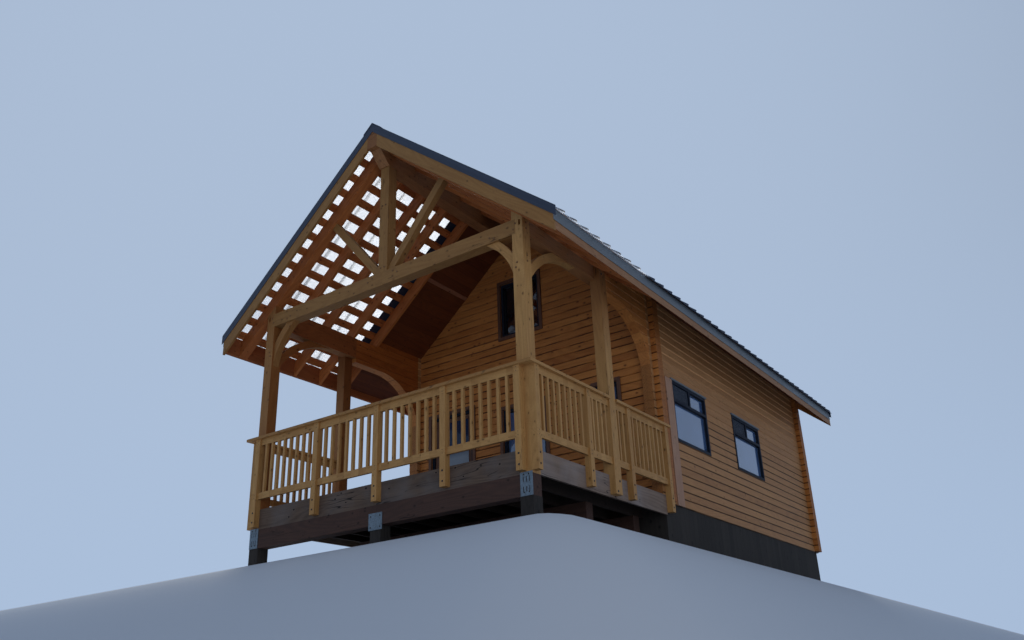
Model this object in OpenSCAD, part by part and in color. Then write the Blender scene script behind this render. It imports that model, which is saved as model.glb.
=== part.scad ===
// Squared-log cabin with a timber-framed covered deck under one gable roof.
// X is to the right when facing the front, Y runs back, Z is up from the ground.
// Heights of openings are measured up from the deck.

/* [Plan] */
// Half width from the middle to the outer face of the walls and posts
half_w = 2420; // [2200:10:2700]
// From the front face of the corner posts to the front wall
porch_d = 3380; // [3200:10:3800]
// Length of the log walls, front face to back face
cabin_l = 6750; // [5600:50:8000]
// Height of the deck above the ground
deck_h = 900; // [700:10:1400]
// From the deck to the underside of the rafters at the wall face
wall_h = 3036; // [2900:2:3300]

/* [Roof] */
// Pitch of the roof in degrees
roof_pitch = 39.8; // [35:0.1:42]
// From the wall face to the outer face of the eave board
eave_out = 650; // [500:10:750]
// From the front posts to the front edge of the roof
front_out = 290; // [240:10:400]
// From the back wall to the back edge of the roof
back_out = 210; // [205:5:400]
// Depth of the rafters, square to the slope
rafter_d = 190; // [150:5:220]
// Thickness of a rafter
rafter_w = 50; // [38:1:70]
// Number of open rafters behind the truss
rafter_n = 4; // [2:1:4]
// Spacing of the open rafters
rafter_pitch = 550; // [450:5:600]
// Height of the ceiling boards above the underside of the rafters
ceiling_up = 120; // [80:5:150]
// From the ridge to the first roof batten
batten_start = 150; // [110:2:240]
// Spacing of the roof battens, measured level
batten_pitch = 214; // [180:2:260]
// Width of a batten along the slope
batten_w = 89; // [60:1:110]
// Thickness of a batten
batten_t = 38; // [25:1:50]
// From the front posts to the back edge of the clear sheets
clear_d = 2060; // [1500:10:2150]
// Thickness of a roof sheet between its ribs
sheet_t = 10; // [6:1:16]
// Spacing of the ribs of the roof sheets
rib_pitch = 275; // [200:5:320]
// Height of a rib above the flat of the sheet
rib_h = 22; // [12:1:32]
// How far the roof sheets reach past the eave board
sheet_out = 80; // [40:5:90]
// Half width of the ridge cap, measured level
cap_w = 170; // [140:5:220]
// Thickness of the edge flashings
flash_t = 8; // [4:1:12]
// Thickness of the rake boards
rake_t = 38; // [25:1:50]
// Thickness of the eave boards
eave_t = 25; // [19:1:38]

/* [Timber frame] */
// Side of the square posts
post = 165; // [140:5:200]
// Depth of the tie beam and of the side plates
tie_d = 210; // [180:5:260]
// How far the full tie beam is housed in the posts
house_in = 55; // [20:5:70]
// How far its tenon reaches into the posts
let_in = 100; // [80:5:110]
// Thickness of the tenons, struts and curved braces
brace_t = 100; // [70:5:110]
// Depth of a strut
strut_w = 115; // [90:5:140]
// Half spread of the strut tops
strut_out = 1060; // [900:10:1200]
// Depth of the ridge beam below the top of the rafters
ridge_d = 450; // [360:10:500]
// Width of the ridge beam
ridge_w = 190; // [150:5:210]
// Front face of the middle post on the right side
mid_right = 1760; // [1600:10:1900]
// Front face of the middle post on the left side
mid_left = 1570; // [1400:10:1800]
// Width of a curved brace
brace_w = 115; // [90:5:140]
// Reach of the small brace along the tie beam
tie_brace_run = 430; // [350:10:550]
// Reach of the small brace down the post
tie_brace_drop = 640; // [500:10:750]
// Reach of the front brace along the side plate
plate_brace_run = 1130; // [800:10:1200]
// Reach of the front brace down the post
plate_brace_drop = 640; // [500:10:750]

/* [Logs] */
// Height of one log course
log_h = 127; // [121:1:133]
// Thickness of the log walls
log_t = 165; // [140:5:200]
// Depth of the bevel between two courses
joint = 11; // [4:1:16]
// How far the lowest course reaches below the deck
log_sink = 98; // [60:2:120]
// How far the side logs run past the front and back walls
log_end = 80; // [50:5:180]
// How far the front and back logs run past the side walls
log_out = 90; // [40:5:120]
// From the rafters down to the underside of the logs that run out to the middle posts
arch_down = 286; // [240:2:400]
// Radius of the arch cut under those logs
arch_r = 950; // [800:10:1100]

/* [Door and windows] */
// From the left face of the cabin to the doorway
door_in = 435; // [380:5:600]
// Width of the doorway
door_w = 915; // [860:5:1000]
// Log courses from the lowest one up to the head of the doorway
door_n = 17; // [16:1:18]
// Thickness of the door leaf
leaf_t = 45; // [38:1:55]
// Width of the frame pieces round doors and windows
frame_w = 45; // [38:1:60]
// Depth of the frame pieces
frame_d = 120; // [100:5:140]
// Width of the boards round the front openings
trim_w = 60; // [40:2:80]
// Thickness of those boards
trim_t = 22; // [16:1:28]
// Left edge of the middle window
mid_win_x = -420; // [-500:10:-300]
// Width of the middle window
mid_win_w = 850; // [700:10:950]
// From the right face of the cabin to the right window
right_win_in = 635; // [500:5:700]
// Width of the right window
right_win_w = 405; // [350:5:500]
// Sill of the front windows
front_sill = 930; // [850:10:1100]
// Head of the front windows
front_head = 1890; // [1700:10:1900]
// Width of the gable window
gable_win_w = 800; // [600:10:900]
// Sill of the gable window
gable_sill = 3210; // [3160:2:3260]
// Head of the gable window
gable_head = 4220; // [4000:10:4300]
// From the front wall to the first side window
side_win_y = 578; // [500:2:700]
// Width of a side window
side_win_w = 1265; // [1000:5:1400]
// Distance from one side window to the next
side_win_pitch = 2400; // [1900:10:2800]
// Sill of the side windows
side_sill = 930; // [850:10:1100]
// Head of the side windows
side_head = 1915; // [1700:5:1950]
// From the head of a side window down to its transom
transom = 315; // [250:5:400]
// Width of the upright board in front of the first side window
side_board_w = 230; // [100:5:300]

/* [Railing] */
// Height of the top of the rail cap above the deck
rail_h = 1050; // [900:10:1100]
// Side of the square rail posts
rail_post = 89; // [80:1:100]
// Spacing of the rail posts along the front
rail_bay = 1130; // [1000:10:1140]
// From the rail post in front of the right middle post to that post
bay_before = 590; // [400:10:700]
// From the right middle post to the rail post behind it
bay_after = 310; // [250:10:500]
// Side of a square baluster
baluster = 38; // [30:1:45]
// Gap wished between the balusters of the front
front_gap = 96; // [60:2:120]
// Gap wished between the balusters of the sides
side_gap = 80; // [60:2:120]
// Depth of the rails
rail_d = 92; // [70:2:110]
// Thickness of the rails and of their cap
rail_t = 38; // [30:1:45]
// How far the cap reaches past the posts
cap_over = 25; // [10:1:40]
// Top of the bottom rail above the deck
low_rail = 224; // [150:2:260]

/* [Deck] */
// Depth of the rim boards round the deck
rim_d = 286; // [265:1:300]
// Thickness of the rim boards, joists and deck boards
deck_t = 38; // [32:1:45]
// How far the feet of the rail posts hang below the deck
foot_drop = 257; // [200:1:264]
// Depth of the dropped beams under the deck
beam_d = 255; // [200:5:300]
// Width of the dropped beams
beam_w = 170; // [140:5:200]
// How far the beams behind the front one stop short of the rim
beam_in = 380; // [0:10:500]
// Spacing of the deck joists
joist_pitch = 400; // [300:10:450]
// Side of the square piers under the beams
pier = 180; // [140:5:220]
// Thickness of the steel brackets
bracket_t = 8; // [5:1:10]

/* [Hidden] */

PINE = "#c8955a";
FRESH = "#d9b27a";
TREATED = "#6f665c";
BROWN = "#7d5138";
SLATE = "#39424f";
CLEAR = "#c5d2dc";
STEEL = "#9aa2a6";
DARK = "#3b3330";
GLASS = "#8fa3ad";
eps = 1;
// clearance between pieces that lie on each other along the slope
seat = 0.3;

slope = tan(roof_pitch);
// square to the slope -> upright
up = 1 / cos(roof_pitch);
roof_l = front_out + porch_d + cabin_l + back_out;
y_front = -roof_l / 2;
y_back = roof_l / 2;
// front face of the corner posts, front wall and back wall
yf = y_front + front_out;
yw = yf + porch_d;
yb = yw + cabin_l;
eave_x = half_w + eave_out;
rafter_x = eave_x - eave_t;
inner_w = half_w - log_t;
plate_z = deck_h + wall_h;
rail_z = deck_h + rail_h - rail_t;
beam_z = deck_h - rim_d;

// heights above the rafters' underside, measured upright
v_top = rafter_d * up;
v_batten = v_top + seat + batten_t * up;
v_rib = v_batten + seat + (sheet_t + rib_h) * up;

// Height of the rafters' underside at x from the middle
function under(x) = plate_z + (half_w - x) * slope;

// A plumb-cut layer of the right slope: x1 to x2, y1 to y2, v1 to v2 above the rafters' underside
module layer(x1, x2, v1, v2, y1, y2) {
    translate([0, y2, 0])
        rotate([90, 0, 0])
            linear_extrude(y2 - y1)
                polygon([[x1, under(x1) + v1], [x2, under(x2) + v1],
                         [x2, under(x2) + v2], [x1, under(x1) + v2]]);
}

module both_sides() {
    children();
    mirror([1, 0, 0]) children();
}

// A box given by its low and high corners
module block(a, b) {
    translate(a) cube(b - a);
}

// Logs

log_base = deck_h - log_sink;
function course_z(i) = log_base + i * log_h;
function course_n(z) = ceil((z - log_base) / log_h);
// courses that cross at the corners, up to the ceiling at the side walls
wall_n = course_n(under(inner_w) + ceiling_up);
door_head = course_z(door_n);

// Courses first to last - 1 on end: x is the thickness, y the height, bevelled at each joint
module log_section(first, last) {
    for (i = [first : last - 1])
        translate([0, i * log_h])
            polygon([[joint, 0], [log_t - joint, 0], [log_t, joint], [log_t, log_h - joint],
                     [log_t - joint, log_h], [joint, log_h], [0, log_h - joint], [0, joint]]);
}

// Logs along X from x1 to x2, their front face at y
module logs_x(x1, x2, y, first, last) {
    translate([x1, y, log_base])
        rotate([90, 0, 90])
            linear_extrude(x2 - x1)
                log_section(first, last);
}

// Logs along Y from y1 to y2, their outer face at half_w
module logs_y(y1, y2, first, last) {
    translate([inner_w, y2, log_base])
        rotate([90, 0, 0])
            linear_extrude(y2 - y1)
                log_section(first, last);
}

// Notches half a log high for a crossing wall, the first at this part of a course
module notches(part, x1, x2, y1, y2) {
    for (i = [-1 : wall_n - 1])
        block([x1, y1, course_z(i + part)], [x2, y2, course_z(i + part + 0.5)]);
}

// Cuts its children to the underside of the ceiling
module under_roof() {
    x = half_w + log_out + eps;
    v = ceiling_up - seat;
    intersection() {
        children();
        translate([0, y_back, 0])
            rotate([90, 0, 0])
                linear_extrude(roof_l)
                    polygon([[-x, 0], [x, 0], [x, under(x) + v], [0, under(0) + v], [-x, under(x) + v]]);
    }
}

// Ground floor

// The skirt under the log walls, a little back from their faces
module foundation() {
    base_in = 20;
    color(DARK)
        difference() {
            block([-half_w + base_in, yw, 0], [half_w - base_in, yb - base_in, log_base]);
            block([-inner_w, yw + log_t, -eps], [inner_w, yb - log_t, log_base + eps]);
        }
}

// The front beam carries the corner posts, and two shorter ones stand behind it
beam_low = beam_z - beam_d;
beams = [[yf, 0], [yf + mid_right, beam_in], [yw - 2 * beam_w, beam_in]];

module deck_piers() {
    color(DARK)
        for (b = beams, k = [-1 : 1])
            translate([k * (half_w - b[1] - pier / 2) - pier / 2, b[0], 0])
                cube([pier, pier, beam_low]);
}

module deck_beams() {
    color(TREATED)
        for (b = beams)
            block([b[1] - half_w, b[0], beam_low], [half_w - b[1], b[0] + beam_w, beam_z]);
}

// Slotted plates over the beam's ends, and a plain one in its middle
module steel_brackets() {
    plate_w = post + 5;
    plate_top = beam_z + 20;
    slot = [12, 65];
    middle = [230, 215];
    below = 60;
    color(STEEL)
        translate([0, yf - bracket_t, beam_low]) {
            for (x = [-half_w, half_w - plate_w])
                difference() {
                    translate([x, 0, 0]) cube([plate_w, bracket_t, plate_top - beam_low]);
                    for (k = [-1 : 1], j = [0.3, 0.75])
                        translate([x + (2 + k) * plate_w / 4 - slot[0] / 2, -eps, j * beam_d - slot[1] / 2])
                            cube([slot[0], bracket_t + 2 * eps, slot[1]]);
                }
            translate([-middle[0] / 2, 0, -below])
                cube([middle[0], bracket_t, middle[1]]);
        }
}

module deck_joists() {
    side = floor((half_w - deck_t - joist_pitch / 4) / joist_pitch);
    color(TREATED)
        for (i = [-side : side])
            block([i * joist_pitch - deck_t / 2, yf + deck_t, beam_z],
                  [i * joist_pitch + deck_t / 2, yw, deck_h - deck_t]);
}

module deck_rim() {
    color(TREATED) {
        block([-half_w + post, yf, beam_z], [half_w - post, yf + deck_t, deck_h]);
        both_sides()
            block([half_w - deck_t, yf + post, beam_z], [half_w, yw, deck_h]);
    }
}

module deck_floor() {
    color(TREATED)
        difference() {
            block([-half_w + deck_t, yf + deck_t, deck_h - deck_t], [half_w - deck_t, yw, deck_h]);
            both_sides()
                block([half_w - post, yf, beam_z], [half_w, yf + post, deck_h + eps]);
        }
}

module cabin_floor() {
    floor_t = 200;
    color(PINE)
        block([-inner_w, yw + log_t, deck_h - floor_t], [inner_w, yb - log_t, deck_h]);
}

// Log walls, with the doorway and the windows cut through

door_x = -half_w + door_in;
door_x2 = door_x + door_w;
right_win_x = half_w - right_win_in - right_win_w;
front_windows = [[mid_win_x, mid_win_w], [right_win_x, right_win_w]];
gable_window = [-gable_win_w / 2, gable_win_w];
side_windows = [yw + side_win_y, yw + side_win_y + side_win_pitch];

// A cut through the front wall, or its boards, for a window [x, width] from sill to head
module front_cut(w, sill, head) {
    block([w[0], yw - trim_t - eps, deck_h + sill], [w[0] + w[1], yw + log_t + eps, deck_h + head]);
}

// Notches for the side walls in a front or back wall with its front face at y
module corner_joints(y) {
    both_sides() notches(0.75, inner_w, half_w, y - eps, y + log_t + eps);
}

// Room beside the front corner for the last rail post and the end of its cap
module end_post_room() {
    block([half_w, yw - eps, 0], [half_w + log_out + eps, yw + rail_post, rail_z]);
    block([half_w, yw - eps, rail_z], [half_w + log_out + eps, yw + log_t + eps, rail_z + rail_t]);
}

module front_wall_left() {
    color(PINE)
        difference() {
            logs_x(-half_w - log_out, door_x, yw, 0, door_n);
            corner_joints(yw);
        }
}

module front_wall_right() {
    color(PINE)
        difference() {
            logs_x(door_x2, half_w + log_out, yw, 0, door_n);
            corner_joints(yw);
            end_post_room();
            for (w = front_windows) front_cut(w, front_sill, front_head);
        }
}

module front_wall_upper() {
    color(PINE)
        under_roof()
            difference() {
                logs_x(-half_w - log_out, half_w + log_out, yw, door_n, wall_n);
                corner_joints(yw);
                front_cut(gable_window, gable_sill, gable_head);
            }
}

module back_wall() {
    color(PINE)
        under_roof()
            difference() {
                logs_x(-half_w - log_out, half_w + log_out, yb - log_t, 0, wall_n);
                corner_joints(yb - log_t);
            }
}

// The triangle of logs between the side walls, cut to the roof and round the ridge beam
module gable(y) {
    under_roof()
        difference() {
            logs_x(-inner_w, inner_w, y, wall_n, course_n(under(0) + ceiling_up));
            block([-ridge_w / 2, y - eps, ridge_z], [ridge_w / 2, y + log_t + eps, under(0) + v_top]);
        }
}

module front_gable() {
    color(PINE)
        difference() {
            gable(yw);
            front_cut(gable_window, gable_sill, gable_head);
        }
}

module back_gable() {
    color(PINE) gable(yb - log_t);
}

module side_wall() {
    under_roof()
        difference() {
            logs_y(yw - log_end, yb + log_end, 0, wall_n);
            for (y = [yw, yb - log_t])
                notches(0.25, inner_w - eps, half_w + eps, y, y + log_t);
            block([inner_w - eps, yw - log_end - eps, 0], [half_w + eps, yw, deck_h]);
            for (y = side_windows)
                block([inner_w - eps, y, deck_h + side_sill],
                      [half_w + eps, y + side_win_w, deck_h + side_head]);
        }
}

module right_wall() {
    color(PINE) side_wall();
}

module left_wall() {
    color(PINE) mirror([1, 0, 0]) side_wall();
}

// How far back from the front posts the rafters are open
open_end = rafter_n * rafter_pitch + rafter_w;

// Wall logs that run out to the middle post, their lower ends cut to an arch
module log_arch(mid) {
    front = yf + mid + post;
    back = yw - log_end;
    low = plate_z - arch_down;
    out = 20;
    difference() {
        under_roof() logs_y(front, back, course_n(low - arch_r) - 1, wall_n);
        layer(inner_w - eps, half_w + eps, -seat, rafter_d + post, y_front, yf + open_end);
        translate([inner_w - eps, 0, 0])
            rotate([90, 0, 90])
                linear_extrude(log_t + 2 * eps)
                    difference() {
                        translate([front - eps, 0]) square([back - front + 2 * eps, low]);
                        translate([back + out - arch_r, low - arch_r])
                            difference() {
                                square(arch_r + eps);
                                circle(r = arch_r, $fn = 180);
                            }
                    }
    }
}

module log_arches() {
    color(PINE) {
        log_arch(mid_right);
        mirror([1, 0, 0]) log_arch(mid_left);
    }
}

module ceiling_deck() {
    color(PINE)
        both_sides()
            layer(ridge_w / 2, rafter_x, ceiling_up, v_top, yf + open_end, y_back - rake_t);
}

// Door, windows and their trim

// from the outer face of a frame to the outer face of its glass
glass_in = 60;

// A four-sided frame for a window [x, width] of the front wall, grown by g all round
module front_ring(w, sill, head, g, f, y, d) {
    low = deck_h + sill;
    high = deck_h + head;
    difference() {
        block([w[0] - g, y, low - g], [w[0] + w[1] + g, y + d, high + g]);
        block([w[0] - g + f, y - eps, low - g + f], [w[0] + w[1] + g - f, y + d + eps, high + g - f]);
    }
}

door_sill = 25;
front_frame_y = yw + 15;

// The frame's sill fills the lowest course under the doorway
module door_frame() {
    color(DARK)
        difference() {
            block([door_x, front_frame_y, log_base], [door_x2, front_frame_y + frame_d, door_head]);
            block([door_x + frame_w, yw, deck_h + door_sill],
                  [door_x2 - frame_w, yw + log_t, door_head - frame_w]);
        }
}

leaf_gap = 8;
leaf_x = door_x + frame_w + leaf_gap;
leaf_w = door_w - 2 * frame_w - 2 * leaf_gap;
leaf_y = front_frame_y + 30;
leaf_z = deck_h + door_sill + leaf_gap;
leaf_h = door_head - frame_w - leaf_gap - leaf_z;
stile = 70;
door_foot = 220;
handle_z = 1000;
pane_t = 12;

module door() {
    pane = [leaf_w - 2 * stile, leaf_h - stile - door_foot];
    color(BROWN)
        translate([leaf_x, leaf_y, leaf_z])
            difference() {
                cube([leaf_w, leaf_t, leaf_h]);
                translate([stile, -eps, door_foot])
                    cube([pane[0], leaf_t + 2 * eps, pane[1]]);
            }
    color(GLASS)
        translate([leaf_x + stile, leaf_y + (leaf_t - pane_t) / 2, leaf_z + door_foot])
            cube([pane[0], pane_t, pane[1]]);
}

// A round rose, a neck and a lever on each face of the leaf
module door_handle() {
    color(STEEL)
        for (side = [0, 1])
            translate([leaf_x + leaf_w - stile / 2, leaf_y + side * leaf_t, leaf_z + handle_z])
                mirror([0, side, 0]) {
                    rotate([90, 0, 0]) cylinder(d = 50, h = 8);
                    rotate([90, 0, 0]) cylinder(d = 20, h = 40);
                    translate([-110, -54, -9]) cube([120, 16, 18]);
                }
}

module front_window_frames() {
    color(DARK) {
        for (w = front_windows)
            front_ring(w, front_sill, front_head, 0, frame_w, front_frame_y, frame_d);
        front_ring(gable_window, gable_sill, gable_head, 0, frame_w, front_frame_y, frame_d);
    }
}

// One light below the transom and two above it, with a groove for the glass across the bars
module side_frame() {
    h = side_head - side_sill;
    light_w = (side_win_w - 3 * frame_w) / 2;
    difference() {
        cube([frame_d, side_win_w, h]);
        translate([frame_d - glass_in, frame_w, frame_w])
            cube([pane_t, side_win_w - 2 * frame_w, h - 2 * frame_w]);
        translate([-eps, frame_w, frame_w])
            cube([frame_d + 2 * eps, side_win_w - 2 * frame_w, h - transom - 1.5 * frame_w]);
        for (k = [0, 1])
            translate([-eps, frame_w + k * (light_w + frame_w), h - transom + frame_w / 2])
                cube([frame_d + 2 * eps, light_w, transom - 1.5 * frame_w]);
    }
}

side_frame_out = 10;
module side_window_frames() {
    color(DARK)
        both_sides()
            for (y = side_windows)
                translate([half_w + side_frame_out - frame_d, y, deck_h + side_sill])
                    side_frame();
}

// One sheet behind the bars of each window
module window_glass() {
    y = front_frame_y + glass_in;
    x = half_w + side_frame_out - glass_in;
    color(GLASS) {
        both_sides()
            for (s = side_windows)
                block([x, s + frame_w, deck_h + side_sill + frame_w],
                      [x + pane_t, s + side_win_w - frame_w, deck_h + side_head - frame_w]);
        for (w = front_windows)
            block([w[0] + frame_w, y, deck_h + front_sill + frame_w],
                  [w[0] + w[1] - frame_w, y + pane_t, deck_h + front_head - frame_w]);
        block([gable_window[0] + frame_w, y, deck_h + gable_sill + frame_w],
              [-gable_window[0] - frame_w, y + pane_t, deck_h + gable_head - frame_w]);
    }
}

// Boards round the front windows
module window_trim() {
    color(BROWN) {
        for (w = front_windows)
            front_ring(w, front_sill, front_head, trim_w, trim_w, yw - trim_t, trim_t);
        front_ring(gable_window, gable_sill, gable_head, trim_w, trim_w, yw - trim_t, trim_t);
    }
}

// An upright board in front of the first window of each side
module side_boards() {
    color(FRESH)
        both_sides()
            block([half_w, side_windows[0] - side_board_w, log_base],
                  [half_w + trim_t, side_windows[0], deck_h + side_head]);
}

// A drip over each side window
module window_head_flashings() {
    drip = 28;
    color(STEEL)
        both_sides()
            for (y = side_windows)
                translate([half_w, y - drip, deck_h + side_head])
                    cube([drip, side_win_w + 2 * drip, drip]);
}

module door_trim() {
    color(BROWN)
        difference() {
            block([door_x - trim_w, yw - trim_t, deck_h], [door_x2 + trim_w, yw, door_head + trim_w]);
            block([door_x, yw - trim_t - eps, deck_h - eps], [door_x2, yw + eps, door_head]);
        }
}

// Timber frame of the porch

// middle of the frame's timbers that are thinner than the posts
brace_in = (post - brace_t) / 2;

// Room for the tie beam's shoulder and tenon, grown by g
module tie_end(g) {
    z = [plate_z - tie_d - g, plate_z + g];
    block([half_w - post - g, yf - g, z[0]], [half_w - post + house_in, yf + post + g, z[1]]);
    block([half_w - post + house_in - eps, yf + brace_in, z[0]],
          [half_w - post + let_in, yf + brace_in + brace_t, z[1]]);
}

// Square posts on the front beam, with a housing, a mortise and a key slot for the tie beam
module corner_posts() {
    key = [30, 60, 80];
    key_down = 26;
    color(FRESH)
        both_sides()
            difference() {
                intersection() {
                    layer(half_w - post, half_w, -wall_h - deck_h, -seat, yf, yf + post);
                    block([half_w - post, yf, beam_z], [half_w, yf + post, plate_z + post]);
                }
                tie_end(0);
                translate([half_w - 2 * key[0], yf - eps, plate_z - key[2] - key_down])
                    cube(key);
            }
}

// A post outside the rim and the plate, notched over both, its front face at y
module mid_post(y) {
    front = yf + y;
    difference() {
        layer(half_w + rail_post - post, half_w + rail_post,
              -wall_h - foot_drop - post, -seat, front, front + post);
        block([0, front - eps, 0], [half_w + post, front + post + eps, deck_h - foot_drop]);
        block([0, front - eps, 0], [half_w, front + post + eps, deck_h]);
        block([0, front - eps, plate_z - tie_d], [half_w, front + post + eps, plate_z + post]);
    }
}

module mid_posts() {
    color(FRESH) {
        mid_post(mid_right);
        mirror([1, 0, 0]) mid_post(mid_left);
    }
}

// From the corner post over the middle post, whose front face is at mid
module side_plate(mid) {
    back = yf + mid + post;
    intersection() {
        layer(half_w - post, half_w, -tie_d - post, -seat, yf + post, back);
        block([half_w - post, yf, plate_z - tie_d], [half_w, back, plate_z + post]);
    }
}

module side_plates() {
    color(PINE) {
        side_plate(mid_right);
        mirror([1, 0, 0]) side_plate(mid_left);
    }
}

module tie_beam() {
    color(FRESH) {
        block([-half_w + post, yf, plate_z - tie_d], [half_w - post, yf + post, plate_z]);
        both_sides()
            intersection() {
                tie_end(0);
                layer(half_w - post, half_w, -tie_d - post, -seat, yf, yf + post);
            }
    }
}

ridge_z = under(ridge_w / 2) + v_top - ridge_d;
module king_post() {
    color(FRESH)
        block([-post / 2, yf, plate_z], [post / 2, yf + post, ridge_z]);
}

// From the foot of the king post up to the rafters
module truss_struts() {
    foot = [post / 2 + 20, plate_z];
    rise = atan2(under(strut_out) - plate_z, strut_out - foot[0]);
    color(FRESH)
        both_sides()
            translate([0, yf + brace_in + brace_t, 0])
                rotate([90, 0, 0])
                    linear_extrude(brace_t)
                        intersection() {
                            polygon([[post / 2, plate_z], [half_w, plate_z], [half_w, under(half_w) - seat],
                                     [post / 2, under(post / 2) - seat]]);
                            translate(foot)
                                rotate(rise)
                                    translate([-half_w, -strut_w / 2])
                                        square([3 * half_w, strut_w]);
                        }
}

module principal_rafters() {
    thick = post - 20;
    color(FRESH)
        both_sides()
            layer(ridge_w / 2, rafter_x, 0, v_top, yf, yf + thick);
}

// The beam's front end is cut back on the slant below
module ridge_beam() {
    shoulder = under(ridge_w / 2) + v_top;
    nose = [190, 200];
    nose_in = 20;
    color(PINE)
        difference() {
            translate([0, y_back, 0])
                rotate([90, 0, 0])
                    linear_extrude(roof_l)
                        polygon([[-ridge_w / 2, ridge_z], [ridge_w / 2, ridge_z], [ridge_w / 2, shoulder],
                                 [0, under(0) + v_top], [-ridge_w / 2, shoulder]]);
            translate([-ridge_w, yf - nose_in, ridge_z])
                rotate([90, 0, 90])
                    linear_extrude(2 * ridge_w)
                        polygon([[-front_out, -eps], [0, -eps], [-nose[0], nose[1]], [-front_out, nose[1]]]);
        }
}

// A brace in a corner at the origin: run along +x, drop along -y, both edges arcs of one centre
module arch(run, drop, bow) {
    c = norm([run, drop]);
    r = (c * c / 4 + bow * bow) / (2 * bow);
    away = [drop, -run] / c;
    centre = [run, -drop] / 2 + away * (r - bow);
    intersection() {
        polygon([[0, 0], [run, 0], [0, -drop]]);
        translate(centre)
            difference() {
                circle(r = r + brace_w, $fn = 180);
                circle(r = r, $fn = 180);
            }
    }
}

module truss_braces() {
    bow = 85;
    color(FRESH)
        both_sides()
            translate([half_w - post, yf + brace_in + brace_t, plate_z - tie_d])
                rotate([90, 0, 0])
                    linear_extrude(brace_t)
                        mirror([1, 0])
                            arch(tie_brace_run, tie_brace_drop, bow);
}

// Under the side plates, from the corner posts back
module plate_braces() {
    bow = 170;
    color(FRESH)
        both_sides()
            translate([half_w - brace_in - brace_t, yf + post, plate_z - tie_d])
                rotate([90, 0, 90])
                    linear_extrude(brace_t)
                        arch(plate_brace_run, plate_brace_drop, bow);
}

module porch_rafters() {
    color(PINE)
        both_sides()
            for (y = [rafter_pitch : rafter_pitch : rafter_n * rafter_pitch])
                layer(ridge_w / 2, rafter_x, 0, v_top, yf + y, yf + y + rafter_w);
}

// Battens from the front rake board to the back one
module porch_battens() {
    level_w = batten_w * cos(roof_pitch);
    last = floor((rafter_x - batten_start - level_w - 5) / batten_pitch);
    color(PINE)
        both_sides()
            for (i = [0 : last]) {
                x = batten_start + i * batten_pitch;
                layer(x, x + level_w, v_top + seat, v_batten, y_front + rake_t, y_back - rake_t);
            }
}

// The rake boards hang a little below the rafters
module rake_boards() {
    low = -15;
    color(FRESH)
        both_sides()
            for (y = [y_front, y_back - rake_t])
                layer(ridge_w / 2, eave_x, low, v_batten, y, y + rake_t);
}

module eave_boards() {
    low = 10;
    color(FRESH)
        both_sides()
            layer(rafter_x, eave_x, low, v_batten, y_front + rake_t, y_back - rake_t);
}

// Roof covering

// A ribbed sheet of the right slope, from y1 to y2
module sheet(y1, y2) {
    ridge_gap = 30;
    rib = [28, 14];
    n = floor((y2 - y1) / rib_pitch);
    translate([0, 0, under(0) + v_batten + seat])
        rotate([0, 90 + roof_pitch, 0])
            translate([0, 0, ridge_gap])
                linear_extrude((eave_x + sheet_out) * up - 2 * ridge_gap) {
                    translate([-sheet_t, y1]) square([sheet_t, y2 - y1]);
                    for (i = [0 : n - 1])
                        translate([-sheet_t, y1 + (i + 0.5) * rib_pitch])
                            polygon([[0, -rib[0]], [-rib_h, -rib[1]], [-rib_h, rib[1]], [0, rib[0]]]);
                }
}

module roof_sheets() {
    color(SLATE) both_sides() sheet(yf + clear_d + seat, y_back - seat);
}

module clear_sheets() {
    color(CLEAR) both_sides() sheet(y_front + seat, yf + clear_d);
}

module ridge_cap() {
    cap_t = 12;
    past = 15;
    v = v_rib + seat;
    color(SLATE)
        translate([0, y_back + past, 0])
            rotate([90, 0, 0])
                linear_extrude(roof_l + 2 * past)
                    polygon([[-cap_w, under(cap_w) + v], [0, under(0) + v], [cap_w, under(cap_w) + v],
                             [cap_w, under(cap_w) + v + cap_t], [0, under(0) + v + cap_t],
                             [-cap_w, under(cap_w) + v + cap_t]]);
}

module rake_flashings() {
    face = 100;
    color(SLATE)
        both_sides()
            for (y = [y_front - flash_t, y_back])
                layer(0, eave_x + sheet_out / 2, v_batten - face, v_rib, y, y + flash_t);
}

module eave_flashings() {
    face = 160;
    high = v_batten - 10;
    color(SLATE)
        both_sides()
            layer(eave_x, eave_x + flash_t, high - face, high, y_front, y_back);
}

// Railings

// Rails and balusters along X from x1 to x2, in a frame whose y = 0 is the outer face of the posts
module rail_bay_x(x1, x2, wish) {
    n = round((x2 - x1 - wish) / (baluster + wish));
    gap = (x2 - x1 - n * baluster) / (n + 1);
    rail_in = (rail_post - rail_t) / 2;
    baluster_in = (rail_post - baluster) / 2;
    low = deck_h + low_rail;
    for (z = [low - rail_d, rail_z - rail_d])
        block([x1, rail_in, z], [x2, rail_in + rail_t, z + rail_d]);
    for (i = [0 : n - 1])
        translate([x1 + gap + i * (baluster + gap), baluster_in, low])
            cube([baluster, baluster, rail_z - rail_d - low]);
}

module rail_post_x(x) {
    block([x, 0, deck_h - foot_drop], [x + rail_post, rail_post, rail_z]);
}

module front_railing() {
    right = half_w - post;
    edges = concat([-right - rail_post], [for (k = [3 : -1 : 0]) right - k * rail_bay]);
    color(FRESH)
        translate([0, yf - rail_post, 0]) {
            for (x = edges) rail_post_x(x);
            for (i = [0 : 3]) rail_bay_x(edges[i] + rail_post, edges[i + 1], front_gap);
        }
}

// Turns a railing made along X to run back along the right side
module along_side() {
    translate([half_w + rail_post, yf, 0]) rotate([0, 0, 90]) children();
}

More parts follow.
